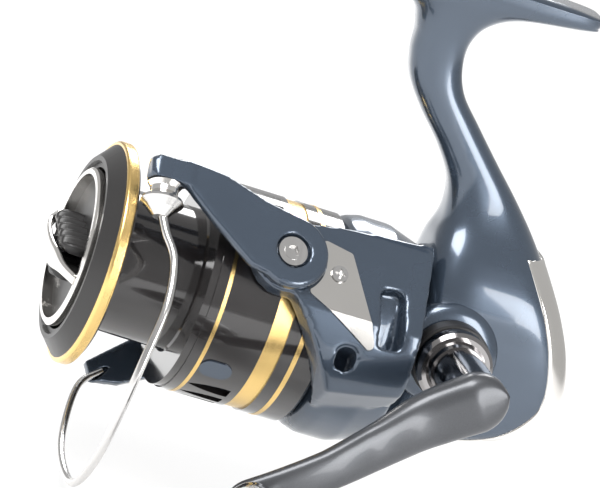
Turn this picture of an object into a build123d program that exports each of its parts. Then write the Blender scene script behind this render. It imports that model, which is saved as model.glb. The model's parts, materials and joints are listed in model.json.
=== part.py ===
from build123d import *
from math import cos, radians, sin, sqrt
import os

# Spinning reel, front drag, right-hand drive, 4000 size class.  Millimetres, +Z up.
# -X is forward (spool nose), -Y is the handle side, and the origin is the centre of the
# foot's mounting face.  Stations along the shaft are counted from the bail pivots.

# ---- driving dimensions ---------------------------------------------------------------
foot_height = 87.6        # mounting face above the main shaft axis
pivot_x = -19.0           # bail pivots, ahead of the foot's centre
foot_length = 72.0
foot_width = 15.5
foot_tip = 3.2            # thickness of the foot at its tips
stem_width = 10.5

shaft_r = 2.0
spool_stroke = 14.0
lip_r = 26.0
lip_width = 2.9
lip_x = -36.9             # middle of the gold lip ring
barrel_r = 16.6
flange_x = -15.3          # rear end of the line groove
skirt_r = 24.9
skirt_wall = 1.6
skirt_end = 15.3
drag_cavity_r = 13.2

rotor_wall = 2.0
rotor_r = 22.0
bowl_r = 26.0
bowl_end = 35.2
arm_inner_r = 25.6
arm_outer_r = 29.2
pivot_n = 29.0            # outer face of the rotor arm at the pivot
arm_angle = 40.0          # main arm above the handle side

crank_x = 44.7            # handle axis behind the bail pivots
crank_z = 5.5             # handle axis above the main shaft
crank_shaft_r = 3.2
handle_length = 55.0
handle_drop = 37.0        # angle of the handle arm below the forward direction
tube_r = 6.3
tube_end = -50.0
near_face = -17.0         # handle side of the gear case
far_face = 14.0
cover_joint = -8.0        # where the side cover meets the body
case_wall = 2.4

pinion_r = 4.0
pinion_tooth_r = 4.7
pinion_teeth = 10
gear_r = 12.6
gear_teeth = 53
gear_face = 5.1           # handle-side face of the drive gear
worm_y = -8.0
worm_z = -4.0
worm_r = 2.3
worm_gear_teeth = 9
wire_r = 0.95
roller_r = 4.2

running_fit = 0.05        # radial clearance of shafts and bearings
part_gap = 0.3            # between pieces that move past each other
gear_clearance = 0.4      # between the tips of the worm gear and the pinion

# ---- frames of reference ----------------------------------------------------------------
shaft_z = -foot_height
shaft_axis = Axis((0, 0, shaft_z), (1, 0, 0))
side_plane = Plane(origin=(pivot_x, 0, shaft_z), x_dir=(1, 0, 0), z_dir=(0, -1, 0))
crank_origin = (pivot_x + crank_x, 0, shaft_z + crank_z)
out = (0, -cos(radians(arm_angle)), sin(radians(arm_angle)))
across = (0, -sin(radians(arm_angle)), -cos(radians(arm_angle)))


def station(x):
    """Plane square to the main shaft, x behind the bail pivots, facing the rear."""
    return Plane(origin=(pivot_x + x, 0, shaft_z), x_dir=(0, 1, 0), z_dir=(1, 0, 0))


def crank_plane(y):
    """Plane square to the handle axis at y, facing the handle side."""
    return Plane(origin=(crank_origin[0], y, crank_origin[2]), x_dir=(1, 0, 0), z_dir=(0, -1, 0))


def bail_point(forward, down, outward):
    """A point in the bail's own directions from the middle of its pivots."""
    return (pivot_x - forward,
            across[1] * down + out[1] * outward,
            shaft_z + across[2] * down + out[2] * outward)


def arm_plane(outward, sign=1):
    """Plane square to the bail axis; its x is forward and its y is towards the wire."""
    origin = bail_point(0, 0, outward * sign)
    return Plane(origin=origin, x_dir=(-1, 0, 0), z_dir=tuple(sign * v for v in out))


def turned(profile, axis=shaft_axis, plane=side_plane):
    """A solid turned from a closed outline of (station, radius) corners."""
    with BuildPart() as piece:
        with BuildSketch(plane):
            with BuildLine():
                Polyline(*profile, close=True)
            make_face()
        revolve(axis=axis)
    return piece


def tube(plane, outer, inner, length):
    """A plain ring or tube standing on a plane."""
    with BuildPart() as piece:
        with BuildSketch(plane):
            Circle(outer)
            if inner > 0:
                Circle(inner, mode=Mode.SUBTRACT)
        extrude(amount=length)
    return piece


def toothed(plane, root, tip, teeth, width, length, bore):
    """A spur gear blank with square-cut teeth."""
    with BuildPart() as piece:
        with BuildSketch(plane):
            Circle(root)
            with PolarLocations((root + tip) / 2, teeth):
                Rectangle(tip - root + 0.4, width)
            Circle(bore, mode=Mode.SUBTRACT)
        extrude(amount=length)
    return piece


finished = {}


def keep(name, piece):
    """Label a finished piece and hold it for writing."""
    piece.part.label = name
    finished[name] = piece


# ---- spool ------------------------------------------------------------------------------
lip_front = lip_x - lip_width / 2
lip_rear = lip_x + lip_width / 2
lip_seat_r = lip_r - 1.6
cavity_floor = -27.0
hub_r = 4.0
hub_front = -24.0
flange_rear = flange_x + 1.8
keep("spool_barrel", turned([
    (lip_front, drag_cavity_r), (lip_front, lip_seat_r), (lip_rear + 0.6, lip_seat_r),
    (lip_rear + 2.2, barrel_r), (flange_x - 0.4, barrel_r), (flange_x, barrel_r + 0.5),
    (flange_x, skirt_r - 0.3), (flange_rear, skirt_r - 0.3), (flange_rear, barrel_r - 2),
    (hub_front + 2, barrel_r - 2), (hub_front + 2, hub_r + 2.4), (flange_rear, hub_r + 2.4),
    (flange_rear, hub_r), (hub_front, hub_r), (hub_front, shaft_r + 0.6),
    (cavity_floor, shaft_r + 0.6), (cavity_floor, drag_cavity_r)]))

with BuildPart() as spool_lip_ring:
    with BuildSketch(station(lip_front)):
        Circle(lip_r)
        Circle(lip_seat_r, mode=Mode.SUBTRACT)
    extrude(amount=lip_width)
    fillet(spool_lip_ring.edges().filter_by(GeomType.CIRCLE).group_by(SortBy.RADIUS)[-1], 0.7)
keep("spool_lip_ring", spool_lip_ring)

nose_front = lip_front - 3.2
nose_bore = 19.0
keep("spool_nose_cone", turned([
    (lip_front, nose_bore), (lip_front, lip_r - 1.0), (nose_front, lip_r - 4.5),
    (nose_front, nose_bore + 1.4), (nose_front + 0.9, nose_bore + 1.0),
    (nose_front + 0.9, nose_bore)]))

# The skirt hangs behind the rear flange; its coloured bands are rings let into grooves.
skirt_bore = skirt_r - skirt_wall
line_gold_x = (-11.15, 8.75)
line_gold_width = (0.9, 1.1)
wide_gold_x = 1.5
wide_gold_width = 4.3
band_depth = 0.6
slot_length = 10.0
slot_height = 3.4
with BuildPart() as spool_skirt:
    with BuildSketch(side_plane):
        with BuildLine():
            Polyline((flange_rear, skirt_bore - 2), (flange_rear, skirt_r), (skirt_end - 0.6, skirt_r),
                     (skirt_end, skirt_r - 0.5), (skirt_end, skirt_bore), (flange_rear + 1.4, skirt_bore),
                     (flange_rear + 1.4, skirt_bore - 2), close=True)
        make_face()
        for x, width in zip(line_gold_x, line_gold_width):
            with Locations((x + width / 2, skirt_r)):
                Rectangle(width, 2 * band_depth, mode=Mode.SUBTRACT)
        with Locations((wide_gold_x + wide_gold_width / 2, skirt_r)):
            Rectangle(wide_gold_width, 2 * (band_depth + 0.3), mode=Mode.SUBTRACT)
    revolve(axis=shaft_axis)
    for group in range(3):
        for slot in range(3):
            turn = 62 + 120 * group + (slot - 1) * 12.5
            radial = Plane(origin=(pivot_x - 5.2, 0, shaft_z), x_dir=(1, 0, 0),
                           z_dir=(0, -cos(radians(turn)), sin(radians(turn))))
            with BuildSketch(radial.offset(skirt_bore - 2)):
                with BuildLine():
                    half = slot_length / 2
                    rise = slot_height / 2
                    ThreePointArc((-half, 0), (0, rise * 0.86), (half, rise))
                    Line((half, rise), (half, -rise))
                    ThreePointArc((half, -rise), (0, -rise * 0.86), (-half, 0))
                make_face()
            extrude(amount=6, mode=Mode.SUBTRACT)
keep("spool_skirt", spool_skirt)

thin_gold = turned([(line_gold_x[0], skirt_r - band_depth), (line_gold_x[0], skirt_r + 0.05),
                    (line_gold_x[0] + line_gold_width[0], skirt_r + 0.05),
                    (line_gold_x[0] + line_gold_width[0], skirt_r - band_depth)])
keep("front_gold_line", thin_gold)
rear_gold = turned([(line_gold_x[1], skirt_r - band_depth), (line_gold_x[1], skirt_r + 0.05),
                    (line_gold_x[1] + line_gold_width[1], skirt_r + 0.05),
                    (line_gold_x[1] + line_gold_width[1], skirt_r - band_depth)])
keep("rear_gold_line", rear_gold)
wide_floor = skirt_r - band_depth - 0.3
keep("wide_gold_band", turned([
    (wide_gold_x, wide_floor), (wide_gold_x, wide_floor + 0.5),
    (wide_gold_x + wide_gold_width, wide_floor + 0.5), (wide_gold_x + wide_gold_width, wide_floor)]))

# Line clip: a D-shaped stud on the front of the skirt, low on the handle side.
clip_angle = -28.0
clip_plane = Plane(origin=(pivot_x - 6.4, 0, shaft_z), x_dir=(1, 0, 0),
                   z_dir=(0, -cos(radians(clip_angle)), sin(radians(clip_angle))))
with BuildPart() as line_clip:
    with BuildSketch(clip_plane.offset(skirt_bore + 0.6)):
        SlotOverall(7.6, 4.8)
    extrude(amount=arm_inner_r - part_gap - 0.1 - skirt_bore - 0.6)
    with BuildSketch(station(-14)):
        Circle(skirt_r + 0.02)
    extrude(amount=16, mode=Mode.SUBTRACT)
keep("line_clip", line_clip)

bearing_width = 4.0
keep("spool_bearing", tube(station(flange_rear - bearing_width - 1), hub_r, shaft_r + running_fit,
                           bearing_width))

washer_r = drag_cavity_r
washer_gap = 0.1
washer_thick = 0.9
with BuildPart() as eared_washers:
    for index in range(3):
        with BuildSketch(station(cavity_floor - 2 * index * (washer_thick + washer_gap) - washer_thick)):
            Circle(washer_r)
            Circle(shaft_r + 1.2, mode=Mode.SUBTRACT)
        extrude(amount=washer_thick)
keep("eared_drag_washers", eared_washers)
with BuildPart() as keyed_washers:
    for index in range(3):
        back = cavity_floor - (2 * index + 1) * (washer_thick + washer_gap) - washer_thick
        with BuildSketch(station(back)):
            Circle(washer_r - 0.5)
            Circle(shaft_r, mode=Mode.SUBTRACT)
        extrude(amount=washer_thick)
keep("keyed_drag_washers", keyed_washers)

# ---- drag knob --------------------------------------------------------------------------
stack_front = cavity_floor - 6 * (washer_thick + washer_gap)
knob_ring_r = 18.5
knob_ring_bore = 16.9
knob_ring_front = nose_front - 1.1
dish_rear = nose_front + 2.4
knob_nose = knob_ring_front - 6.3
keep("drag_knob_ring", turned([
    (dish_rear, knob_ring_bore), (dish_rear, knob_ring_r), (knob_ring_front + 0.5, knob_ring_r),
    (knob_ring_front, knob_ring_r - 0.5), (knob_ring_front, knob_ring_bore)]))
keep("drag_knob_dish", turned([
    (dish_rear, shaft_r + running_fit), (stack_front - washer_gap, shaft_r + running_fit), (stack_front - washer_gap, 5.5),
    (dish_rear, 5.5), (dish_rear, knob_ring_bore), (dish_rear - 1.0, knob_ring_bore),
    (dish_rear - 1.0, shaft_r + running_fit)]))
knob_turn = 62.0
grip_half = 4.4
bar_plane = station(dish_rear - 1.0)
with BuildPart() as drag_knob_grip:
    with BuildSketch(Plane(origin=bar_plane.origin, x_dir=(0, sin(radians(knob_turn)), cos(radians(knob_turn))),
                           z_dir=(-1, 0, 0))):
        Rectangle(2 * knob_ring_bore - 2.4, 2 * grip_half)
        for side in (-1, 1):
            with GridLocations(3.1, 0, 8, 1):
                with Locations((0, side * grip_half)):
                    Circle(0.6, mode=Mode.SUBTRACT)
    extrude(amount=-(knob_nose - dish_rear) - 2.6)
    fillet(drag_knob_grip.faces().sort_by(Axis.X)[0].edges().sort_by(SortBy.LENGTH)[-2:], 0.5)
    with BuildSketch(station(dish_rear)):
        Circle(knob_ring_bore)
    extrude(amount=-12, mode=Mode.INTERSECT)
    with BuildSketch(station(dish_rear - 9)):
        Circle(shaft_r + running_fit)
    extrude(amount=12, mode=Mode.SUBTRACT)
keep("drag_knob_grip", drag_knob_grip)

# ---- main shaft and oscillation ---------------------------------------------------------
shaft_front = dish_rear - 4.5
slider_front = 57.0
slider_rear = 67.0
keep("main_shaft", tube(station(shaft_front), shaft_r, 0, slider_rear - shaft_front))
keep("spool_seat", tube(station(flange_rear + 0.3), hub_r - 0.2, shaft_r, 1.3))

slider_half = 5.0
guide_y = 3.0
guide_z = -6.0
guide_r = 1.25
with BuildPart() as oscillating_slider:
    with BuildSketch(station(slider_front)):
        with Locations((0, -3.6)):
            Rectangle(2 * slider_half, 9.2)
        Circle(shaft_r, mode=Mode.SUBTRACT)
    extrude(amount=slider_rear - slider_front)
    with BuildSketch(station(slider_front)):
        with Locations((guide_y, guide_z)):
            Circle(guide_r + running_fit)
    extrude(amount=slider_rear - slider_front, mode=Mode.SUBTRACT)
keep("oscillating_slider", oscillating_slider)

case_front = 35.5
inner_front = 31.1        # front ends of the guide rod and the worm, inside the housing
with BuildPart() as slider_guide_rod:
    with BuildSketch(station(inner_front)):
        with Locations((guide_y, guide_z)):
            Circle(guide_r)
    extrude(amount=68.6 - inner_front)
keep("slider_guide_rod", slider_guide_rod)

with BuildPart() as worm_shaft:
    with BuildSketch(station(inner_front)):
        with Locations((worm_y, worm_z)):
            Circle(1.5)
    extrude(amount=69.3 - inner_front)
    with BuildSketch(station(case_front + 6.6)):
        with Locations((worm_y, worm_z)):
            Circle(worm_r)
    extrude(amount=24)
    for ring in range(11):
        with BuildSketch(station(case_front + 8 + 2 * ring)):
            with Locations((worm_y, worm_z)):
                Circle(worm_r)
                Circle(worm_r - 0.5, mode=Mode.SUBTRACT)
        extrude(amount=0.9, mode=Mode.SUBTRACT)
keep("worm_shaft", worm_shaft)
worm_gear_tip = sqrt(worm_y ** 2 + worm_z ** 2) - pinion_tooth_r - gear_clearance
worm_gear = toothed(Plane(origin=(pivot_x + case_front + 2.6, worm_y, shaft_z + worm_z),
                          x_dir=(0, 1, 0), z_dir=(1, 0, 0)),
                    worm_gear_tip - 0.8, worm_gear_tip, worm_gear_teeth, 1.3, 3.4, 1.5)
keep("worm_gear", worm_gear)

# ---- rotor ------------------------------------------------------------------------------
rotor_front = -8.5
bowl_bore = bowl_r - 3.0
arm_reach = 34.0
main_outline = [(-3, 8.3), (3, 8.0), (0, -8.3), (-15, -11), (-arm_reach, -13), (-arm_reach, 22),
                (-25, 23.5), (-17, 24.5)]


def arm_blank(sign, outline, windows):
    """A thick plate cut to the arm's outline as seen square on, with its windows."""
    with BuildPart() as blank:
        with BuildSketch(arm_plane(8.0, sign)):
            with BuildLine():
                Polyline(*outline, close=True)
            make_face()
            Circle(8.5)
            for centre, width, height, turn in windows:
                with Locations(Location((*centre, 0), (0, 0, turn))):
                    RectangleRounded(width, height, 1.6, mode=Mode.SUBTRACT)
        extrude(amount=arm_outer_r + 4)
    return blank


with BuildPart() as arm_shells:
    add(arm_blank(1, main_outline, [((-26.5, 7.5), 5.6, 13.5, 8), ((-18.5, 18.2), 4.6, 4.4, 0)]).part)
    add(arm_blank(-1, [(0, 8.3), (0, -8.3), (-15, -12), (-arm_reach, -16), (-arm_reach, 16), (-15, 12)],
                  [((-22, 0), 6.0, 12.0, 0)]).part)
    with BuildSketch(station(-9)):
        Circle(arm_outer_r + 1.5)
        Circle(arm_inner_r, mode=Mode.SUBTRACT)
    extrude(amount=arm_reach + 9, mode=Mode.INTERSECT)
    for sign in (-1, 1):
        with BuildSketch(arm_plane(pivot_n, sign)):
            Circle(60)
        extrude(amount=10, mode=Mode.SUBTRACT)

bowl = turned([
    (rotor_front, pinion_r), (rotor_front, rotor_r - 0.8), (rotor_front + 0.8, rotor_r),
    (16.2, rotor_r), (16.2, 23.4), (17.4, 25.0), (20.5, bowl_r), (27.5, bowl_r), (bowl_end, 23.6),
    (bowl_end, 21.8), (20, rotor_r - rotor_wall), (rotor_front + 2.5, rotor_r - rotor_wall),
    (rotor_front + 2.5, 7.5), (rotor_front + 4.0, 7.5), (rotor_front + 4.0, pinion_r)])
with BuildPart() as rotor:
    add(bowl.part)
    add(arm_shells.part)
    for sign in (-1, 1):
        with BuildSketch(arm_plane(pivot_n + 1, sign)):
            Circle(2.2)
        extrude(amount=-7, mode=Mode.SUBTRACT)
keep("rotor", rotor)

rotor_nut_front = rotor_front - 2.8
with BuildPart() as rotor_nut:
    with BuildSketch(station(rotor_nut_front)):
        RegularPolygon(7.0, 6)
        Circle(pinion_r, mode=Mode.SUBTRACT)
    extrude(amount=2.8)
keep("rotor_nut", rotor_nut)

pinion_tooth_x = case_front + 2.6
pinion_end = 41.2
with BuildPart() as pinion_gear:
    with BuildSketch(station(rotor_nut_front)):
        Circle(pinion_r)
    extrude(amount=pinion_end - rotor_nut_front)
    with BuildSketch(station(pinion_tooth_x)):
        with PolarLocations(pinion_r + 0.1, pinion_teeth):
            Rectangle(2 * (pinion_tooth_r - pinion_r) - 0.2, 1.3)
    extrude(amount=pinion_end - pinion_tooth_x)
    with BuildSketch(station(rotor_nut_front - 1)):
        Circle(shaft_r + 0.08)
    extrude(amount=60, mode=Mode.SUBTRACT)
keep("pinion_gear", pinion_gear)
clutch_x = 9.0
clutch_long = 11.0
keep("clutch_sleeve", tube(station(clutch_x), 5.5, pinion_r, clutch_long))

plate_thick = 0.5
shell_r = arm_outer_r + 1.5
with BuildPart() as arm_top:
    with BuildSketch(station(-9)):
        Circle(shell_r)
    extrude(amount=arm_reach + 9)
    with BuildSketch(arm_plane(pivot_n)):
        Circle(60)
    extrude(amount=10, mode=Mode.SUBTRACT)
with BuildPart() as arm_cover_plate:
    with BuildSketch(arm_plane(8.0)) as plate_outline:
        with BuildLine():
            Polyline((-7.4, -6.0), (-6.0, 7.4), (-24.6, 17.0), (-14.6, -4.6), close=True)
        make_face()
        fillet(plate_outline.vertices(), 1.0)
        Circle(9.0, mode=Mode.SUBTRACT)
    extrude(amount=pivot_n + plate_thick - 8.0)
    with BuildSketch(station(0)):
        Circle(shell_r + plate_thick)
    extrude(amount=arm_reach, mode=Mode.INTERSECT)
    add(arm_top.part, mode=Mode.SUBTRACT)
    with BuildSketch(arm_plane(pivot_n)):
        with Locations((-12.2, 1.2)):
            Circle(2.0)
    extrude(amount=2, mode=Mode.SUBTRACT)
keep("arm_cover_plate", arm_cover_plate)
with BuildPart() as arm_cover_screw:
    with BuildSketch(arm_plane(pivot_n)):
        with Locations((-12.2, 1.2)):
            Circle(1.95)
    extrude(amount=0.9)
    with BuildSketch(arm_plane(pivot_n + 0.9)):
        with Locations((-12.2, 1.2)):
            Rectangle(2.4, 0.5)
            Rectangle(0.5, 2.4)
    extrude(amount=-0.5, mode=Mode.SUBTRACT)
keep("arm_cover_screw", arm_cover_screw)

# ---- bail -------------------------------------------------------------------------------
roller_at = (31.0, -5.8, 29.0)
roller_half = 1.7
head_at = (31.6, -10.6)
lever_under = pivot_n + plate_thick + 0.3
boss_under = pivot_n + part_gap
wire_route = [(31.0, -1.0, 29.0), (28.5, 3.5, 29.2), (25.2, 10.0, 29.5), (25.0, 21.0, 29.6),
              (28.0, 34.0, 25.2), (28.6, 43.0, 17.6), (29.4, 53.0, 7.0), (30.2, 54.6, -4.5),
              (30.6, 44.0, -16.2), (29.5, 33.0, -25.0), (27.0, 20.0, -29.0), (20.0, 13.0, -30.6)]
wire_radii = [5, 8, 12, 16, 22, 12, 9, 14, 22, 12]
route = FilletPolyline(*[Vector(*bail_point(*p)) for p in wire_route], radius=wire_radii)
with BuildPart() as bail_wire:
    with BuildLine():
        add(route)
    with BuildSketch(Plane(origin=route @ 0, z_dir=route % 0)):
        Circle(wire_r)
    sweep()
keep("bail_wire", bail_wire)

roller_plane = Plane(origin=bail_point(roller_at[0], 0, roller_at[2]), x_dir=(-1, 0, 0), z_dir=across)
roller_axis = Axis(bail_point(roller_at[0], 0, roller_at[2]), across)
roller_side = Plane(origin=bail_point(roller_at[0], 0, roller_at[2]), x_dir=across, z_dir=(-1, 0, 0))
rb = roller_at[1]
keep("line_roller", turned([
    (rb - roller_half, 2.3), (rb - roller_half, 3.9), (rb - 0.6, 3.2), (rb + 0.6, 3.2),
    (rb + roller_half, 3.9), (rb + roller_half, 2.3)], roller_axis, roller_side))
keep("roller_bearing", turned([
    (rb - roller_half, 1.2 + running_fit), (rb - roller_half, 2.3), (rb + roller_half, 2.3),
    (rb + roller_half, 1.2 + running_fit)], roller_axis, roller_side))
roller_end = rb + roller_half + part_gap
with BuildPart() as roller_cone:
    add(turned([(roller_end, 0), (roller_end, 4.6), (roller_end + 0.8, 4.9), (roller_end + 2.2, 3.4),
                (roller_end + 4.2, 1.6), (roller_end + 4.2, 0)], roller_axis, roller_side).part)
    add(bail_wire.part, mode=Mode.SUBTRACT)
    add(turned([(roller_end - 1, 0), (roller_end - 1, 1.2), (roller_end + 1.6, 1.2),
                (roller_end + 1.6, 0)], roller_axis, roller_side).part, mode=Mode.SUBTRACT)
keep("roller_cone", roller_cone)
head_rear = rb - roller_half - part_gap
head_thick = 5.2
keep("roller_screw", turned([
    (head_rear - head_thick - 0.2, 0), (head_rear - head_thick - 0.2, 2.4), (head_rear - head_thick + 1.2, 2.4),
    (head_rear - head_thick + 1.2, 1.2), (roller_end + 1.6, 1.2), (roller_end + 1.6, 0)],
    roller_axis, roller_side))

with BuildPart() as bail_arm_lever:
    with BuildSketch(arm_plane(lever_under)):
        with BuildLine():
            Polyline((-1.5, 8.3), (9, 6.2), (20, -2.0), (26, -7.0), (28, -8.4), (head_at[0] + 3.6, -8.4),
                     (head_at[0] + 4.0, -12.4), (27, -14.0), (18, -13.2), (8, -10.0), (-1.5, -8.3),
                     close=True)
        make_face()
        Circle(8.5)
    extrude(amount=2.4)
    chamfer(bail_arm_lever.faces().sort_by(Axis(bail_point(0, 0, 0), out))[-1].edges(), 0.7)
    with BuildSketch(arm_plane(boss_under)):
        Circle(8.3)
    extrude(amount=lever_under - boss_under)
    with BuildSketch(Plane(origin=bail_point(roller_at[0], head_rear - head_thick, roller_at[2]),
                           x_dir=(-1, 0, 0), z_dir=across)):
        with BuildLine():
            Polyline((-4.6, 0), (-3.6, 2.3), (3.4, 2.3), (4.6, 0), (3.2, -3.4), (-5.2, -3.4), close=True)
        make_face()
    extrude(amount=head_thick)
    with BuildSketch(arm_plane(lever_under + 2.4)):
        Circle(4.0)
    extrude(amount=-1.9, mode=Mode.SUBTRACT)
    with BuildSketch(arm_plane(boss_under)):
        Circle(2.1)
    extrude(amount=6, mode=Mode.SUBTRACT)
    add(turned([(head_rear - head_thick - 2, 0), (head_rear - head_thick - 2, 2.4),
                (head_rear - head_thick + 1.2, 2.4), (head_rear - head_thick + 1.2, 1.2),
                (head_rear + 1, 1.2), (head_rear + 1, 0)], roller_axis, roller_side).part, mode=Mode.SUBTRACT)
keep("bail_arm_lever", bail_arm_lever)

with BuildPart() as bail_holder:
    with BuildSketch(arm_plane(boss_under, -1)):
        Circle(7.2)
        with BuildLine():
            Polyline((0, -7.2), (17, -16.4), (24, -17.6), (26, -13.4), (20, -8.0), (3, 6.8), close=True)
        make_face()
    extrude(amount=2.4)
    with BuildSketch(arm_plane(boss_under, -1)):
        Circle(2.1)
    extrude(amount=6, mode=Mode.SUBTRACT)
    add(bail_wire.part, mode=Mode.SUBTRACT)
keep("bail_holder", bail_holder)

screw_depth = 3.2
with BuildPart() as bail_pivot_screws:
    for sign, top in ((1, lever_under + 0.5 + 1.4), (-1, boss_under + 2.4 + 1.2)):
        with BuildSketch(arm_plane(pivot_n - screw_depth, sign)):
            Circle(2.1 - running_fit)
        extrude(amount=top - pivot_n + screw_depth)
        with BuildSketch(arm_plane(top - (1.4 if sign > 0 else 1.2) + 0.02, sign)):
            Circle(3.4)
        extrude(amount=1.3)
        with BuildSketch(arm_plane(top + 0.2, sign)):
            RegularPolygon(1.5, 6)
        extrude(amount=-1.1, mode=Mode.SUBTRACT)
keep("bail_pivot_screws", bail_pivot_screws)

# ---- gear case, stem and foot -----------------------------------------------------------
nose_front_x = 1.0
nose_r = 13.0
flange_front = 26.6       # front of the housing that stands inside the rotor bowl
flange_inside = 30.8
rotor_seat_r = 19.6
case_side = [(case_front, -16.0), (51, -14.6), (68.5, -11.0), (76.8, -2.6), (74.2, 10.5), (68.0, 21.5),
             (56.0, 35.0), (46.0, 40.0), (case_front, 33.0)]
case_inside = [(case_front + 2.2, -13.4), (51, -12.2), (67.4, -8.6), (73.4, -2.0), (71.2, 9.8),
               (65.4, 20.0), (54.6, 31.6), (case_front + 2.2, 27.5)]
bearing_r = 6.5
bearing_thick = 3.4
screw_head = 0.8
boss_face = near_face - 1.6

with BuildPart() as case_block:
    with BuildSketch(side_plane.offset(-far_face)) as case_sketch:
        with BuildLine():
            Polyline(*case_side, close=True)
        make_face()
        fillet(case_sketch.vertices().sort_by(Axis.X)[2:], 5)
    extrude(amount=far_face - near_face)
    chamfer(case_block.faces().sort_by(Axis.Y)[0].outer_wire().edges(), 3.6, 4.6)
    fillet(case_block.faces().sort_by(Axis.Y)[-1].outer_wire().edges(), 3.5)
with BuildPart() as case_hollow:
    with BuildSketch(side_plane.offset(-far_face + case_wall)):
        with BuildLine():
            Polyline(*case_inside, close=True)
        make_face()
    extrude(amount=far_face - near_face - 2 * case_wall)
    chamfer(case_hollow.faces().sort_by(Axis.Y)[0].outer_wire().edges(), 2.4)

with BuildPart() as stem:
    with BuildSketch(side_plane.offset(-stem_width / 2)):
        with BuildLine():
            Polyline((case_front, 31.0), (31.0, 45.6), (18.6, 59.4), (15.9, 66.3), (14.6, 73.0), (11.0, 77.6),
                     (-1.0, 81.4), (-17.0, 84.4), (-17.0, foot_height), (55.0, foot_height),
                     (55.0, 84.4), (39.3, 81.4), (30.6, 78.6), (27.6, 74.0), (28.4, 64.4),
                     (37.6, 54.8), (51.0, 42.0), (56.5, 35.2), (50.0, 28.0), (40.0, 28.0), close=True)
        make_face()
    extrude(amount=stem_width)
    edges_to_round = stem.edges().filter_by(
        lambda e: abs(abs(e.center().Y) - stem_width / 2) < 0.01 and e.center().Z < -9.5
        and e.center().Z > shaft_z + 36)
    fillet(edges_to_round, 3.4)
with BuildPart() as foot_plate:
    with BuildSketch(side_plane.offset(-foot_width / 2)):
        with BuildLine():
            Polyline((-17.0, 84.4), (-17.0, foot_height), (55.0, foot_height), (55.0, 84.4), (39.3, 81.9),
                     (30.0, 80.4), (8.0, 80.4), (-1.0, 81.9), close=True)
        make_face()
    extrude(amount=foot_width)
    fillet(foot_plate.edges().filter_by(Axis.Z), 5.5)

with BuildPart() as full_case:
    add(case_block.part)
    add(stem.part)
    add(foot_plate.part)
    add(turned([(nose_front_x, 0), (nose_front_x, nose_r - 1), (nose_front_x + 1, nose_r),
                (flange_front, nose_r), (flange_front, rotor_seat_r), (case_front, rotor_seat_r),
                (case_front, 0)]).part)
    add(case_hollow.part, mode=Mode.SUBTRACT)
    with BuildSketch(crank_plane(far_face - case_wall + 0.5)):
        Circle(bearing_r + 2)
    extrude(amount=bearing_thick - 0.4)
    with BuildSketch(crank_plane(near_face + case_wall + 1.2)):
        Circle(bearing_r + 2.4)
    extrude(amount=near_face + case_wall + 1.2 - boss_face)
    add(turned([(nose_front_x - 1, 0), (nose_front_x - 1, 5.2), (nose_front_x + 1.8, 5.2),
                (nose_front_x + 1.8, 9.0), (8.2, 9.0), (8.2, 10.0), (20.6, 10.0), (20.6, 7.0), (27.0, 7.0),
                (27.0, 8.0), (flange_inside, 8.0), (flange_inside, rotor_seat_r - 1.8),
                (case_front + 3, rotor_seat_r - 1.8), (case_front + 3, 0)]).part,
        mode=Mode.SUBTRACT)
    with BuildSketch(crank_plane(far_face - 1.2)):
        Circle(bearing_r)
    extrude(amount=8, mode=Mode.SUBTRACT)
    with BuildSketch(crank_plane(near_face + bearing_thick + 0.6)):
        Circle(bearing_r)
    extrude(amount=bearing_thick - 0.4, mode=Mode.SUBTRACT)
    with BuildSketch(crank_plane(near_face + 3)):
        Circle(5.0)
    extrude(amount=8, mode=Mode.SUBTRACT)
with BuildPart() as reel_body:
    add(full_case.part)
    with BuildSketch(Plane(origin=(pivot_x + case_front + 0.01, cover_joint, shaft_z + 24), x_dir=(1, 0, 0),
                           z_dir=(0, -1, 0))):
        Rectangle(100, 100, align=(Align.MIN, Align.MAX))
    extrude(amount=30, mode=Mode.SUBTRACT)
keep("reel_body", reel_body)
with BuildPart() as side_cover:
    add(full_case.part)
    with BuildSketch(Plane(origin=(pivot_x + case_front + 0.01, cover_joint - 0.01, shaft_z + 23.98),
                           x_dir=(1, 0, 0), z_dir=(0, -1, 0))):
        Rectangle(100, 100, align=(Align.MIN, Align.MAX))
    extrude(amount=30, mode=Mode.INTERSECT)
keep("side_cover", side_cover)

with BuildPart() as rear_guard:
    with BuildSketch(side_plane.offset(-8)):
        with BuildLine():
            Polyline((50.0, -15.9), (69.2, -12.2), (78.6, -3.0), (75.8, 11.2), (69.4, 22.6), (59.0, 34.4),
                     (57.4, 33.4), (68.2, 21.6), (74.3, 10.5), (76.9, -2.6), (68.5, -11.1), (50.0, -14.9),
                     close=True)
        make_face()
    extrude(amount=19)
    add(case_block.part, mode=Mode.SUBTRACT)
keep("rear_guard", rear_guard)

keep("roller_clutch", tube(station(clutch_x), 10.0, 5.5 + running_fit, clutch_long))
with BuildPart() as pinion_bearings:
    add(tube(station(nose_front_x + 2), 9.0, pinion_r + running_fit, 4.0).part)
    add(tube(station(27.0), 8.0, pinion_r + running_fit, 3.4).part)
keep("pinion_bearings", pinion_bearings)

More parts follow.
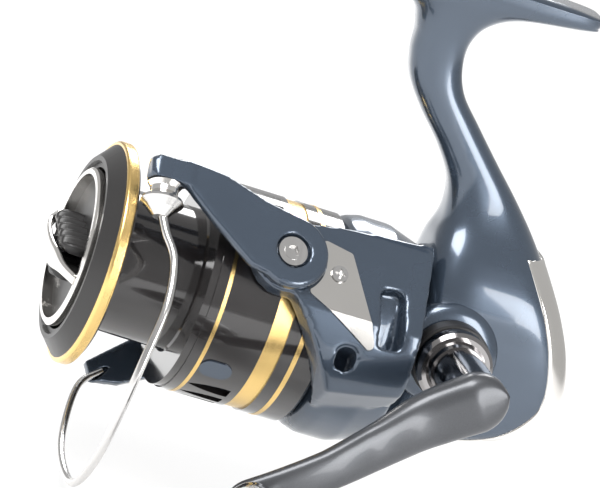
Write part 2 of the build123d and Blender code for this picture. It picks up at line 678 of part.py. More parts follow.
# ---- crank: drive gear, handle shaft and handle -----------------------------------------
hub_y = near_face - 0.3
with BuildPart() as handle_shaft:
    with BuildSketch(crank_plane(far_face - 1.4)):
        Circle(crank_shaft_r)
    extrude(amount=far_face - 1.4 - tube_end - 4)
keep("handle_shaft", handle_shaft)
with BuildPart() as drive_gear:
    with BuildSketch(crank_plane(gear_face + 2.6)):
        Circle(gear_r)
        Circle(crank_shaft_r, mode=Mode.SUBTRACT)
        with PolarLocations(8.6, 6):
            Circle(1.7, mode=Mode.SUBTRACT)
    extrude(amount=2.0)
    with BuildSketch(crank_plane(gear_face + 0.6)):
        with PolarLocations(gear_r - 1.6, gear_teeth):
            Rectangle(2.8, 0.75)
    extrude(amount=0.6)
keep("drive_gear", drive_gear)
with BuildPart() as drive_gear_bearings:
    for back in (far_face - 1.3, near_face + bearing_thick + 0.5):
        with BuildSketch(crank_plane(back)):
            Circle(bearing_r)
            Circle(crank_shaft_r + running_fit, mode=Mode.SUBTRACT)
        extrude(amount=bearing_thick - 0.6)
keep("drive_gear_bearings", drive_gear_bearings)
with BuildPart() as handle_dust_cap:
    with BuildSketch(crank_plane(far_face + 1.6)):
        Circle(8.4)
    extrude(amount=1.6)
    fillet(handle_dust_cap.faces().sort_by(Axis.Y)[-1].edges(), 0.8)
keep("handle_dust_cap", handle_dust_cap)
crank_axis = Axis(crank_origin, (0, -1, 0))
crank_side = Plane(origin=crank_origin, x_dir=(0, -1, 0), z_dir=(1, 0, 0))
ring_start = -boss_face + part_gap
keep("handle_seal_ring", turned([
    (ring_start, crank_shaft_r), (ring_start, 9.1), (ring_start + 3.4, 9.1), (ring_start + 4.2, 8.9),
    (ring_start + 4.2, crank_shaft_r)], crank_axis, crank_side))
collar_start = ring_start + 4.2
collar_end = collar_start + 4.0
keep("handle_collar", turned([
    (collar_start, crank_shaft_r), (collar_start, 8.7), (collar_end - 0.8, 8.7), (collar_end, 7.9),
    (collar_end, crank_shaft_r)], crank_axis, crank_side))
tube_stop = -tube_end
with BuildPart() as handle_hub:
    add(turned([(collar_end, crank_shaft_r), (collar_end, 6.9), (collar_end + 2, tube_r), (tube_stop - 0.6, tube_r),
                (tube_stop, tube_r - 0.6), (tube_stop, 0), (tube_stop - 4, 0), (tube_stop - 4, crank_shaft_r)],
               crank_axis, crank_side).part)
keep("handle_hub", handle_hub)
reach = (-cos(radians(handle_drop)), 0, -sin(radians(handle_drop)))
knob_shift = 12.0
arm_base = -tube_stop + 5.4
with BuildPart() as handle_arm:
    arm_side = Plane(origin=crank_origin, x_dir=reach, z_dir=(reach[2], 0, -reach[0]))
    with BuildSketch(arm_side.offset(-5.2)) as arm_sketch:
        sign = 1 if arm_side.y_dir.Y < 0 else -1
        with BuildLine():
            Polyline((tube_r - 1.6, sign * (tube_stop - 9.0)), (12, sign * (tube_stop - 8.6)),
                     (30, sign * (tube_stop + 1.5)), (44, sign * (tube_stop + 5.2)),
                     (handle_length + 5, sign * (tube_stop + 5.6)), (handle_length + 5, sign * (tube_stop + 9.8)),
                     (42, sign * (tube_stop + 9.2)), (26, sign * (tube_stop + 5.2)), (10, sign * (tube_stop - 2.0)),
                     (tube_r - 1.6, sign * (tube_stop - 1.2)), close=True)
        make_face()
    extrude(amount=10.4)
    with BuildSketch(crank_plane(0)):
        Circle(tube_r)
    extrude(amount=90, mode=Mode.SUBTRACT)
    knob_origin = (crank_origin[0] + handle_length * reach[0], crank_origin[2] + handle_length * reach[2])
    knob_face = Plane(origin=(knob_origin[0], 0, knob_origin[1]), x_dir=(1, 0, 0), z_dir=(0, -1, 0))
    with BuildSketch(knob_face):
        Circle(2.5)
    extrude(amount=90, mode=Mode.SUBTRACT)
keep("handle_arm", handle_arm)
arm_face = tube_stop + 9.8
knob_start = arm_face + part_gap
knob_length = 36.0
knob_axis = Axis((knob_origin[0], 0, knob_origin[1]), (0, -1, 0))
knob_side = Plane(origin=(knob_origin[0], 0, knob_origin[1]), x_dir=(0, -1, 0), z_dir=(1, 0, 0))
post_end = knob_start + knob_length - 5
keep("knob_post", turned([(tube_stop + 5.0, 0), (tube_stop + 5.0, 2.5), (post_end, 2.5), (post_end, 0)],
                         knob_axis, knob_side))
keep("handle_knob", turned([
    (knob_start, 4.2), (knob_start, 5.6), (knob_start + 3, 6.6), (knob_start + 10, 8.4),
    (knob_start + 20, 10.6), (knob_start + 28, 11.4), (knob_start + 33.5, 10.2), (knob_start + 35, 8.2),
    (knob_start + 35, 5.4), (knob_start + 32.6, 5.4), (knob_start + 32.6, 4.2)], knob_axis, knob_side))
with BuildPart() as knob_bearings:
    for start in (knob_start + 0.4, post_end - 4.0):
        add(turned([(start, 2.5 + running_fit), (start, 4.2), (start + 3, 4.2), (start + 3, 2.5 + running_fit)],
                   knob_axis, knob_side).part)
keep("knob_bearings", knob_bearings)
keep("knob_cap", turned([(knob_start + 32.6, 0), (knob_start + 32.6, 5.4), (knob_start + 35.4, 5.0),
                         (knob_start + 35.8, 3.6), (knob_start + 35.8, 0)], knob_axis, knob_side))

# The case screws go in from the far side, so the handle side is clean.
with BuildPart() as case_screws:
    for x, z in ((44.0, 26.0), (64.0, 16.0), (64.0, -5.0)):
        screw_plane = Plane(origin=(pivot_x + x, far_face, shaft_z + z), x_dir=(-1, 0, 0), z_dir=(0, 1, 0))
        with BuildSketch(screw_plane):
            Circle(1.9)
        extrude(amount=screw_head)
        with BuildSketch(screw_plane.offset(screw_head)):
            Rectangle(2.2, 0.5)
            Rectangle(0.5, 2.2)
        extrude(amount=-0.5, mode=Mode.SUBTRACT)
keep("case_screws", case_screws)

os.makedirs("parts", exist_ok=True)
for name, piece in finished.items():
    export_step(piece.part, f"parts/{name}.step")
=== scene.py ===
# %% [markdown]
# # A spinning reel
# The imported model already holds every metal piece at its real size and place. This lesson
# gives each piece its finish, rounds what the hand and eye meet first, and lights the reel.
# The frame is loaded first, because every later piece reads its place from it.

# %% Load the frame
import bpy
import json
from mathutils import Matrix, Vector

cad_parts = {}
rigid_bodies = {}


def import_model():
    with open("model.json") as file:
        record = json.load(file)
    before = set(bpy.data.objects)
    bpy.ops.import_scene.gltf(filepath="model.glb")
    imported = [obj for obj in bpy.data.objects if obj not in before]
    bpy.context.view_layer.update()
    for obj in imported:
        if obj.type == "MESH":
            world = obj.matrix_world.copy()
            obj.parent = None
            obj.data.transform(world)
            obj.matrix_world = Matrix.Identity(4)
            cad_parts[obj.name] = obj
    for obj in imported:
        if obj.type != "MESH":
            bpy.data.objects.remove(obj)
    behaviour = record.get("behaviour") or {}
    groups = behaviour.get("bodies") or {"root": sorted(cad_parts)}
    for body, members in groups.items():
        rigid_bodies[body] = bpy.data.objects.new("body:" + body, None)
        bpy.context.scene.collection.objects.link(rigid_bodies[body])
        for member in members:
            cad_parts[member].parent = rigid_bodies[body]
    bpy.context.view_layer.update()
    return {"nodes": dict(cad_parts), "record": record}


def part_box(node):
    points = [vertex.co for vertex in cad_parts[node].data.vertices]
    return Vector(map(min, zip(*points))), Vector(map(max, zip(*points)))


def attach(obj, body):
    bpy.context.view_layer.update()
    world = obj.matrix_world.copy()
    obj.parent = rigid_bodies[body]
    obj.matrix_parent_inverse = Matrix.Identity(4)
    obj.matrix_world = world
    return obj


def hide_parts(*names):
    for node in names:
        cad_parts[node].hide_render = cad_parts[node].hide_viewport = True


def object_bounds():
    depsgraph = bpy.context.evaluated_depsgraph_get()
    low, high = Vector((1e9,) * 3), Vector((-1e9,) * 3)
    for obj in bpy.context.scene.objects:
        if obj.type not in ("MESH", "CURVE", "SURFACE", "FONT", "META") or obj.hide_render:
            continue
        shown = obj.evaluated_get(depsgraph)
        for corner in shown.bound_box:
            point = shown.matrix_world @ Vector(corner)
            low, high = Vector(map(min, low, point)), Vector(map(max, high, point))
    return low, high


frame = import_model()

import json
import math
import bpy
import numpy as np
from mathutils import Matrix, Vector

print("nodes in the frame:", len(frame["nodes"]))

# %% [markdown]
# The axes every piece shares: the main shaft runs along X, the handle along Y. Both are
# read back from the joints, so a change to the model moves the new pieces with it.

# %% Axes of the reel
JOINTS = {j["name"]: j for j in frame["record"]["behaviour"]["joints"]}
SHAFT = np.array(JOINTS["rotor_turn"]["pos_m"])
CRANK = np.array(JOINTS["handle_turn"]["pos_m"])
KNOB = np.array(JOINTS["knob_spin"]["pos_m"])
OUT = -np.array(JOINTS["bail_swing"]["axis"])
MM = 0.001
print("shaft axis height (mm):", round(SHAFT[2] / MM, 1))


# %% [markdown]
# ## Finishes
# A finish is a small set of numbers, base colour, metal and roughness, broken up by noise at
# the scale of the real surface. Image textures would do too, but noise stays sharp
# at any distance. Noise reads Object coordinates, so it stays put on each piece.

# %% A helper for finishes
def finish(name, color, metal=0.0, rough=0.4, coat=0.0, flake=0.0, grain=0.0, grain_scale=900.0,
           stretch=(1, 1, 1), spread=0.08):
    """Principled surface: colour and roughness each vary by noise; grain is a fine bump."""
    mat = bpy.data.materials.new(name)
    mat.use_nodes = True
    nodes, links = mat.node_tree.nodes, mat.node_tree.links
    shader = nodes["Principled BSDF"]
    shader.inputs["Metallic"].default_value = metal
    shader.inputs["Coat Weight"].default_value = coat
    shader.inputs["Coat Roughness"].default_value = 0.06
    coords = nodes.new("ShaderNodeTexCoord")
    mapping = nodes.new("ShaderNodeMapping")
    mapping.inputs["Scale"].default_value = stretch
    links.new(coords.outputs["Object"], mapping.inputs["Vector"])
    broad = nodes.new("ShaderNodeTexNoise")
    broad.inputs["Scale"].default_value = 60.0
    broad.inputs["Detail"].default_value = 4.0
    fine = nodes.new("ShaderNodeTexNoise")
    fine.inputs["Scale"].default_value = grain_scale
    fine.inputs["Detail"].default_value = 3.0
    links.new(mapping.outputs["Vector"], broad.inputs["Vector"])
    links.new(mapping.outputs["Vector"], fine.inputs["Vector"])
    rough_map = nodes.new("ShaderNodeMapRange")
    rough_map.inputs["To Min"].default_value = max(rough - spread, 0.02)
    rough_map.inputs["To Max"].default_value = rough + spread
    links.new(broad.outputs["Fac"], rough_map.inputs["Value"])
    links.new(rough_map.outputs["Result"], shader.inputs["Roughness"])
    mix = nodes.new("ShaderNodeMix")
    mix.data_type = "RGBA"
    mix.inputs["A"].default_value = (*[c * (1 - flake) for c in color], 1)
    mix.inputs["B"].default_value = (*[min(c * (1 + flake), 1.0) for c in color], 1)
    links.new((fine if flake > 0.1 else broad).outputs["Fac"], mix.inputs["Factor"])
    links.new(mix.outputs["Result"], shader.inputs["Base Color"])
    if grain:
        bump = nodes.new("ShaderNodeBump")
        bump.inputs["Strength"].default_value = grain
        bump.inputs["Distance"].default_value = 0.0001
        links.new(fine.outputs["Fac"], bump.inputs["Height"])
        links.new(bump.outputs["Normal"], shader.inputs["Normal"])
    return mat


TURNED = (40.0, 1.0, 1.0)
FINISHES = {
    "blue_paint": finish("blue_paint", (0.052, 0.072, 0.102), 0.6, 0.26, coat=0.8, flake=0.25, grain_scale=4000),
    "gold_anodised": finish("gold_anodised", (0.80, 0.56, 0.22), 1.0, 0.24, flake=0.08, grain=0.15, stretch=TURNED),
    "spool_black": finish("spool_black", (0.018, 0.016, 0.016), 0.2, 0.14, coat=0.9, flake=0.08),
    "satin_black": finish("satin_black", (0.022, 0.021, 0.021), 0.0, 0.38, flake=0.08, grain=0.1),
    "polished_silver": finish("polished_silver", (0.74, 0.72, 0.69), 1.0, 0.14, flake=0.05),
    "black_chrome": finish("black_chrome", (0.30, 0.29, 0.29), 1.0, 0.1, flake=0.05, spread=0.04),
    "gunmetal": finish("gunmetal", (0.075, 0.078, 0.085), 0.6, 0.36, coat=0.2, flake=0.2, grain_scale=4000),
    "gloss_black": finish("gloss_black", (0.012, 0.012, 0.014), 0.0, 0.12, coat=0.6, flake=0.05, spread=0.04),
    "stainless": finish("stainless", (0.62, 0.61, 0.60), 1.0, 0.18, flake=0.05, grain=0.1, stretch=TURNED),
    "brass": finish("brass", (0.72, 0.52, 0.24), 1.0, 0.26, flake=0.08, grain=0.1),
    "zinc_gear": finish("zinc_gear", (0.48, 0.48, 0.49), 1.0, 0.38, flake=0.08, grain=0.2),
    "drag_felt": finish("drag_felt", (0.16, 0.14, 0.12), 0.0, 0.85, flake=0.25, grain=0.6),
}
for entry in frame["record"]["subparts"]:
    piece = bpy.data.objects[entry["node"]]
    piece.data.materials.clear()
    piece.data.materials.append(FINISHES[entry["material_slot"]])
print("finishes:", len(FINISHES))


# %% [markdown]
# ## Surfaces from numpy
# New pieces are grids of points: one parameter runs along the piece, the other round it.
# The whole grid is worked out as arrays and handed to the mesh in one call.

# %% Grid to mesh
def grid_mesh(name, points, close_round=True, caps=True):
    """points[i, j] is a point; i runs along, j runs round. Quads join neighbours, caps close ends."""
    rows, cols = points.shape[:2]
    index = np.arange(rows * cols).reshape(rows, cols)
    nxt = np.roll(index, -1, axis=1)
    span = slice(None) if close_round else slice(0, cols - 1)
    quads = np.stack([index[:-1, span], nxt[:-1, span], nxt[1:, span], index[1:, span]], -1).reshape(-1, 4)
    faces = [tuple(q) for q in quads.tolist()]
    if caps:
        faces += [tuple(reversed(index[0].tolist())), tuple(index[-1].tolist())]
    mesh = bpy.data.meshes.new(name)
    mesh.from_pydata(points.reshape(-1, 3).tolist(), [], faces)
    import bmesh
    work = bmesh.new()
    work.from_mesh(mesh)
    bmesh.ops.remove_doubles(work, verts=work.verts, dist=1e-7)
    bmesh.ops.recalc_face_normals(work, faces=work.faces)
    work.to_mesh(mesh)
    work.free()
    mesh.shade_smooth()
    piece = bpy.data.objects.new(name, mesh)
    bpy.context.scene.collection.objects.link(piece)
    return piece


def turned(name, profile, axis, centre, steps=96):
    """Turn (along, radius) corners about an axis: ring points are centre + along*axis + radius*(u cos t + v sin t)."""
    axis = np.array(axis, float) / np.linalg.norm(axis)
    u = np.cross(axis, (0.0, 0.0, 1.0))
    u = u / np.linalg.norm(u)
    v = np.cross(axis, u)
    turn = np.linspace(0, 2 * np.pi, steps, endpoint=False)
    along, radius = np.array(profile, float).T * MM
    ring = np.cos(turn)[:, None] * u + np.sin(turn)[:, None] * v
    points = np.array(centre) + along[:, None, None] * axis + radius[:, None, None] * ring
    return grid_mesh(name, points)


def smooth_curve(corners, count):
    """Catmull-Rom curve through the corners: each span is a cubic that keeps its neighbours' slopes."""
    p = np.array(corners, float)
    p = np.vstack([2 * p[0] - p[1], p, 2 * p[-1] - p[-2]])
    t = np.linspace(0, len(p) - 3 - 1e-9, count)
    i, f = t.astype(int), (t % 1)[:, None]
    a, b, c, d = p[i], p[i + 1], p[i + 2], p[i + 3]
    return 0.5 * (2 * b + (c - a) * f + (2 * a - 5 * b + 4 * c - d) * f ** 2 + (3 * b - a - 3 * c + d) * f ** 3)


def dress(piece, body, slot, *replaced):
    """Finish a piece, ride it on its body and hide the nodes it stands for."""
    piece.data.materials.append(FINISHES[slot])
    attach(piece, body)
    if replaced:
        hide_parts(*replaced)
    print(piece.name, "faces:", len(piece.data.polygons))


# %% [markdown]
# ## The bail wire
# The wire is a steel rod bent into one open loop. A bevelled curve would do it; here a circle
# is carried along a smooth curve instead, so that it can thin evenly towards the far end.

# %% Bail directions and wire
PIVOT = np.array(JOINTS["bail_swing"]["pos_m"])
FORWARD = np.array((-1.0, 0.0, 0.0))
ACROSS = np.cross(OUT, FORWARD)


def bail_point(points):
    """Points given as (forward, down, outward) millimetres from the middle of the bail pivots."""
    p = np.array(points, float) * MM
    return PIVOT + p[:, :1] * FORWARD + p[:, 1:2] * ACROSS + p[:, 2:3] * OUT


def rod(name, centre, radius, sides=20, side_ref=(1.0, 0.0, 0.0)):
    """A round rod: at each point of the line, radius*(u cos t + v sin t) square to the line."""
    tangent = np.gradient(centre, axis=0)
    tangent /= np.linalg.norm(tangent, axis=1, keepdims=True)
    u = np.cross(tangent, np.array(side_ref))
    u /= np.linalg.norm(u, axis=1, keepdims=True)
    v = np.cross(tangent, u)
    t = np.linspace(0, 2 * np.pi, sides, endpoint=False)[None, :, None]
    r = (np.broadcast_to(radius, (len(centre),)) * MM)[:, None, None]
    return grid_mesh(name, centre[:, None, :] + r * (np.cos(t) * u[:, None] + np.sin(t) * v[:, None]))


WIRE = [(31.0, -2.0, 29.0), (29.0, 3.5, 29.2), (26.0, 10.0, 29.5), (25.8, 21.0, 29.4), (27.6, 33.0, 25.2),
        (28.6, 43.0, 17.6), (29.4, 51.5, 7.0), (30.2, 53.0, -4.5), (30.6, 44.0, -16.2), (29.5, 33.0, -24.6),
        (26.8, 20.0, -29.0), (21.5, 14.2, -30.3)]
wire_line = smooth_curve(bail_point(WIRE), 260)
wire = rod("bail_wire_rod", wire_line, np.linspace(1.05, 0.85, 260))
dress(wire, "bail", "stainless", "bail_wire")


# %% [markdown]
# ## Handle arm
# The arm is a cast bar, wide at its hub, that kicks outwards before the knob. A box could be
# bent to it; a rounded section carried along a curve gives the soft highlights of a casting.

# %% Handle arm
def bar(name, centre, wide, thick, half_wide, half_thick, power=4.0, sides=40):
    """A rounded bar: each section is a squared-off ring, sign(c)|c|^(2/p), in its own two directions."""
    t = np.linspace(0, 2 * np.pi, sides, endpoint=False)
    c, s = np.cos(t), np.sin(t)
    x = (np.sign(c) * np.abs(c) ** (2 / power))[None, :, None]
    y = (np.sign(s) * np.abs(s) ** (2 / power))[None, :, None]
    hw = (np.array(half_wide) * MM)[:, None, None]
    ht = (np.array(half_thick) * MM)[:, None, None]
    return grid_mesh(name, centre[:, None, :] + hw * x * wide[:, None] + ht * y * thick[:, None])


REACH = (KNOB - CRANK)
REACH = REACH / np.linalg.norm(REACH)
SIDE = np.cross(REACH, (0.0, -1.0, 0.0))
arm_rows = 70
arm_path = smooth_curve([(-7.2, 47.6), (0, 47.6), (12, 48.0), (24, 52.4), (36, 56.2), (48, 57.8), (60, 57.7)],
                        arm_rows)
arm_centre = CRANK + MM * (arm_path[:, :1] * REACH + arm_path[:, 1:] * np.array((0.0, -1.0, 0.0)))
arm_dir = np.gradient(arm_centre, axis=0)
arm_dir /= np.linalg.norm(arm_dir, axis=1, keepdims=True)
arm_thick = np.cross(arm_dir, SIDE)
end = np.clip((arm_path[:, 0] - 54.0) / 6.0, 0, 1)
root = np.clip((0.0 - arm_path[:, 0]) / 7.2, 0, 1)
rounding = np.sqrt(1.0001 - end ** 2 * 0.985) * np.sqrt(1.0001 - root ** 2 * 0.985)
arm_wide = np.interp(arm_path[:, 0], [0, 10, 22, 36, 60], [6.9, 6.5, 5.4, 4.6, 5.0]) * rounding
arm = bar("handle_arm_bar", arm_centre, np.broadcast_to(SIDE, (arm_rows, 3)), arm_thick, arm_wide,
          np.interp(arm_path[:, 0], [-7, 0, 12, 26, 60], [2.8, 4.4, 3.6, 2.4, 2.0]), power=2.6)
dress(arm, "crank", "gunmetal", "handle_arm")

# %% [markdown]
# ## Knob
# The knob is a turned, hollow grip, so half its outline carried round the knob's own axis
# is all it needs.

# %% Knob
knob_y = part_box("handle_knob")[1][1] / MM
KNOB_OUTLINE = smooth_curve([(0.2, 4.6), (0.6, 5.7), (4, 6.4), (10, 8.0), (19, 10.5), (27, 11.35), (32, 10.6),
                             (34.3, 8.6), (34.9, 6.0)], 60)
knob_rows = np.vstack([[(0.2, 2.8)], KNOB_OUTLINE, [(34.6, 5.45)], [(30.0, 5.45)], [(30.0, 2.8)], [(0.2, 2.8)]])
knob_centre = np.array((KNOB[0], knob_y * MM, KNOB[2]))
knob_cell_rows = knob_rows.tolist()
knob = turned("handle_knob_grip", knob_cell_rows[:-1], (0, -1, 0), knob_centre, 80)
dress(knob, "knob", "gloss_black", "handle_knob")


# %% [markdown]
# ## Gear case, stem and foot
# The real body is one casting that narrows from the gear case into a slim stem and spreads
# again into the foot. Sculpting would do; here each height has one rounded section, and
# a smooth curve through a few sections carries one into the next.

# %% Body sections
# height, front, rear, handle side, far side (mm from the main shaft and bail pivots), squareness
BODY = [(-15.6, 38.5, 50.0, -8.0, 6.0, 2.4), (-14.4, 35.8, 58.0, -14.4, 11.4, 3.0),
        (-10.4, 35.5, 68.6, -16.7, 13.7, 3.8), (-4.0, 35.5, 75.2, -17.05, 14.05, 4.4),
        (2.0, 35.5, 76.8, -17.1, 14.1, 4.6), (11.0, 35.5, 74.0, -17.1, 14.1, 4.6),
        (19.5, 35.5, 69.4, -16.6, 13.6, 4.2), (27.0, 35.6, 64.4, -13.6, 11.8, 3.6),
        (34.0, 36.4, 59.0, -9.2, 8.6, 3.0), (41.0, 34.8, 52.2, -6.5, 6.3, 2.8),
        (48.0, 29.6, 44.6, -5.7, 5.7, 2.7), (55.0, 22.6, 37.2, -5.3, 5.3, 2.7),
        (61.0, 17.8, 31.2, -5.2, 5.2, 2.7), (67.0, 15.6, 28.4, -5.2, 5.2, 2.7),
        (73.0, 14.6, 28.0, -5.5, 5.5, 2.8), (78.0, 11.4, 30.8, -6.2, 6.2, 3.0),
        (81.6, 2.0, 38.0, -7.0, 7.0, 3.4), (84.2, -14.5, 53.0, -7.4, 7.4, 4.6),
        (85.4, -16.6, 54.6, -7.6, 7.6, 5.4), (87.55, -16.9, 54.9, -7.6, 7.6, 5.6)]


def body_rings(rows, turns, grow_long=0.0, grow_wide=0.0):
    """Rings of the body: centre plus half sizes times sign(cos)|cos|^(2/p) and the same of sin."""
    z, front, rear, near, far, power = rows.T[:, :, None]
    c, s = np.cos(turns)[None, :], np.sin(turns)[None, :]
    x = (front + rear) / 2 + ((rear - front) / 2 + grow_long) * np.sign(c) * np.abs(c) ** (2 / power)
    y = (near + far) / 2 + ((far - near) / 2 + grow_wide) * np.sign(s) * np.abs(s) ** (2 / power)
    local = np.stack([x, y, np.broadcast_to(z, x.shape)], -1) * MM
    return local + np.array((PIVOT[0], 0.0, SHAFT[2]))


body_rows = smooth_curve(BODY, 200)
body_rows[:, 0] = np.maximum.accumulate(body_rows[:, 0])
round_turns = np.linspace(0, 2 * np.pi, 144, endpoint=False)
shell = grid_mesh("body_shell", body_rings(body_rows, round_turns))
dress(shell, "frame", "blue_paint", "reel_body", "side_cover")

# The polished guard is a strip of the same rings, grown outwards and closed by a second strip.
guard_rows = body_rows[(body_rows[:, 0] > -15.0) & (body_rows[:, 0] < 31.0)]
sector = np.linspace(-1.12, 1.12, 56)
outer = body_rings(guard_rows, sector, 0.9, 0.25)
inner = body_rings(guard_rows, sector, -0.6, -0.4)
guard = grid_mesh("rear_guard_band", np.concatenate([outer, inner[:, ::-1]], axis=1))
dress(guard, "frame", "polished_silver", "rear_guard")

# %% Housing inside the rotor and boss round the handle
HOUSING = [(1.0, 5.4), (1.0, 12.0), (2.0, 13.0), (26.6, 13.0), (26.6, 19.6), (35.8, 19.6), (35.8, 17.8),
           (30.8, 17.8), (30.8, 10.2), (3.0, 10.2), (3.0, 5.4), (1.0, 5.4)]
housing = turned("rotor_housing", HOUSING, (1, 0, 0), (PIVOT[0], 0, SHAFT[2]))
dress(housing, "frame", "blue_paint")
BOSS = [(12.0, 5.2), (12.0, 12.6), (16.6, 12.4), (17.7, 11.4), (18.3, 10.2), (18.6, 9.0), (18.6, 5.2), (12.0, 5.2)]
boss = turned("handle_boss", BOSS, (0, -1, 0), (CRANK[0], 0, CRANK[2]))
dress(boss, "frame", "blue_paint")

# %% [markdown]
# ## Drag knob bar
# The knob is turned by a bar across its dish: a bright arched spine with dark lobed grips
# on each side. Each is a rounded bar whose width changes along its length.

# %% Drag knob bar
BAR = np.array((0.0, 0.988, 0.155))
BAR_SIDE = np.cross(BAR, FORWARD)
knob_at = np.array((PIVOT[0], 0.0, SHAFT[2]))
t = np.linspace(-16.9, 16.9, 90)
rise = 42.4 + 5.4 * np.clip(1 - (np.abs(t) / 16.9) ** 2.2, 0, 1)
spine_line = knob_at + MM * (t[:, None] * BAR + rise[:, None] * FORWARD)
spine_dir = np.gradient(spine_line, axis=0)
spine_dir /= np.linalg.norm(spine_dir, axis=1, keepdims=True)
spine_wide = np.broadcast_to(BAR_SIDE, spine_line.shape)
spine = bar("drag_knob_spine", spine_line, spine_wide, np.cross(spine_dir, spine_wide),
            1.2 + 1.3 / (1 + (np.abs(t) / 10.5) ** 10), np.full(90, 0.75), power=3.0)
dress(spine, "drag_knob", "polished_silver", "drag_knob_grip")
g = np.linspace(-9.6, 9.6, 90)
ends = np.sqrt(np.clip(1.0004 - (g / 9.6) ** 8, 0, 1))
for side, label in ((-1, "near"), (1, "far")):
    grip_line = knob_at + MM * (g[:, None] * BAR + side * 3.3 * BAR_SIDE + 42.3 * FORWARD)
    grip = bar(f"drag_knob_grip_{label}", grip_line, np.broadcast_to(BAR_SIDE, grip_line.shape),
               np.broadcast_to(FORWARD, grip_line.shape), (1.5 + 0.6 * np.cos(g * 2.0)) * ends, 4.2 * ends, power=3.4)
    dress(grip, "drag_knob", "satin_black")


# %% [markdown]
# ## Cast bodies
# The rotor and levers are die castings: no edge on them is sharp. Bevelling every edge by
# hand would be slow, so a copy of each casting is remeshed into small even squares and
# relaxed, which rolls its edges.

# %% Soft-edged copies of castings
def softened(name, node, voxel, rounds):
    """A relaxed copy: merge the triangles, remesh at the voxel size, then average neighbours."""
    import bmesh
    mesh = bpy.data.objects[node].data.copy()
    work = bmesh.new()
    work.from_mesh(mesh)
    bmesh.ops.remove_doubles(work, verts=work.verts, dist=1e-6)
    work.to_mesh(mesh)
    work.free()
    rough = bpy.data.objects.new(name + "_raw", mesh)
    bpy.context.scene.collection.objects.link(rough)
    remesh = rough.modifiers.new("remesh", "REMESH")
    remesh.mode = "VOXEL"
    remesh.voxel_size = voxel * MM
    relax = rough.modifiers.new("relax", "SMOOTH")
    relax.factor, relax.iterations = 0.5, rounds
    bpy.context.view_layer.update()
    graph = bpy.context.evaluated_depsgraph_get()
    final = bpy.data.meshes.new_from_object(rough.evaluated_get(graph))
    bpy.data.objects.remove(rough)
    final.materials.clear()
    final.shade_smooth()
    piece = bpy.data.objects.new(name, final)
    bpy.context.scene.collection.objects.link(piece)
    return piece


CASTINGS = [("rotor_casting", "rotor", "rotor", "blue_paint", 0.6, 5),
            ("bail_lever_casting", "bail_arm_lever", "bail", "blue_paint", 0.35, 8),
            ("bail_holder_casting", "bail_holder", "bail", "blue_paint", 0.35, 6)]
for name, node, body, slot, voxel, rounds in CASTINGS:
    dress(softened(name, node, voxel, rounds), body, slot, node)


# %% [markdown]
# ## Stage, light and camera
# A reel is photographed on a white sweep with large soft lamps, so its metal shows long soft
# streaks. The camera stands far off with a long lens, tilted so the main shaft runs
# across the picture.

# %% Camera
RIGHT = Vector((0.919, -0.183, 0.349)).normalized()
BACK = Vector((-0.276, -0.931, 0.239)).normalized()
UP = BACK.cross(RIGHT).normalized()
RIGHT = UP.cross(BACK).normalized()
LENS = 250.0
DISTANCE = 0.95
aim = Vector(SHAFT.tolist()) + RIGHT * (12.95 * MM) + UP * (12.3 * MM)
camera_data = bpy.data.cameras.new("camera")
camera_data.lens = LENS
camera_data.sensor_width = 36.0
camera_data.clip_end = 50.0
camera = bpy.data.objects.new("camera", camera_data)
turn = Matrix((RIGHT, UP, BACK)).transposed().to_4x4()
camera.matrix_world = Matrix.Translation(aim + BACK * DISTANCE) @ turn
bpy.context.scene.collection.objects.link(camera)
bpy.context.scene.camera = camera
print("camera at", [round(v, 3) for v in camera.location])


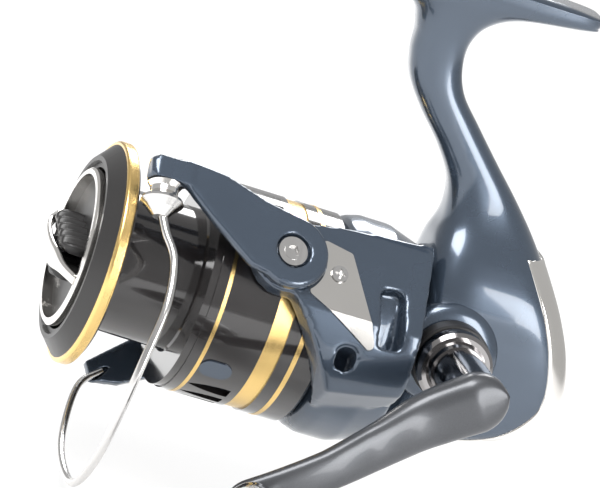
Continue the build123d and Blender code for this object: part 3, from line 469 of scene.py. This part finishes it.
# %% Floor, lamps and world
def white_when_seen(name, color, share):
    """A matt surface that mixes in plain white light only for camera rays."""
    mat = bpy.data.materials.new(name)
    mat.use_nodes = True
    nodes, links = mat.node_tree.nodes, mat.node_tree.links
    shader = nodes["Principled BSDF"]
    shader.inputs["Base Color"].default_value = (*color, 1)
    shader.inputs["Roughness"].default_value = 0.9
    glow = nodes.new("ShaderNodeEmission")
    glow.inputs["Strength"].default_value = 1.0
    path = nodes.new("ShaderNodeLightPath")
    scale = nodes.new("ShaderNodeMath")
    scale.operation = "MULTIPLY"
    scale.inputs[1].default_value = share
    mix = nodes.new("ShaderNodeMixShader")
    links.new(path.outputs["Is Camera Ray"], scale.inputs[0])
    links.new(scale.outputs[0], mix.inputs[0])
    links.new(shader.outputs[0], mix.inputs[1])
    links.new(glow.outputs[0], mix.inputs[2])
    links.new(mix.outputs[0], nodes["Material Output"].inputs["Surface"])
    return mat


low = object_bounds()[0]
half = 3.0
floor_mesh = bpy.data.meshes.new("floor")
drop = low[2] - 4 * MM
floor_mesh.from_pydata([(-half, -half, drop), (half, -half, drop), (half, half, drop), (-half, half, drop)],
                       [], [(0, 1, 2, 3)])
floor = bpy.data.objects.new("floor", floor_mesh)
bpy.context.scene.collection.objects.link(floor)
floor_mesh.materials.append(white_when_seen("floor_white", (0.92, 0.92, 0.92), 0.8))


def lamp(name, place, power, size, size_y):
    """A soft rectangular lamp aimed at the reel."""
    data = bpy.data.lights.new(name, "AREA")
    data.shape = "RECTANGLE"
    data.energy, data.size, data.size_y = power, size, size_y
    obj = bpy.data.objects.new(name, data)
    obj.location = Vector(SHAFT.tolist()) + Vector(place)
    obj.rotation_euler = (Vector(SHAFT.tolist()) - obj.location).to_track_quat("-Z", "Y").to_euler()
    bpy.context.scene.collection.objects.link(obj)


lamp("key", (-0.35, -0.35, 0.75), 9.0, 0.55, 0.4)
lamp("front", (0.55, -0.9, 0.25), 7.0, 0.35, 0.6)
lamp("rim", (0.1, 0.75, 0.55), 6.0, 0.6, 0.35)

world = bpy.data.worlds.new("world")
bpy.context.scene.world = world
world.use_nodes = True
wn, wl = world.node_tree.nodes, world.node_tree.links
path = wn.new("ShaderNodeLightPath")
seen = wn.new("ShaderNodeMath")
seen.operation = "MAXIMUM"
level = wn.new("ShaderNodeMapRange")
level.inputs["To Min"].default_value = 0.55
level.inputs["To Max"].default_value = 1.0
wl.new(path.outputs["Is Camera Ray"], seen.inputs[0])
wl.new(path.outputs["Is Transmission Ray"], seen.inputs[1])
wl.new(seen.outputs[0], level.inputs["Value"])
wl.new(level.outputs["Result"], wn["Background"].inputs["Strength"])
wn["Background"].inputs["Color"].default_value = (1, 1, 1, 1)
bpy.context.scene.view_settings.view_transform = "Standard"
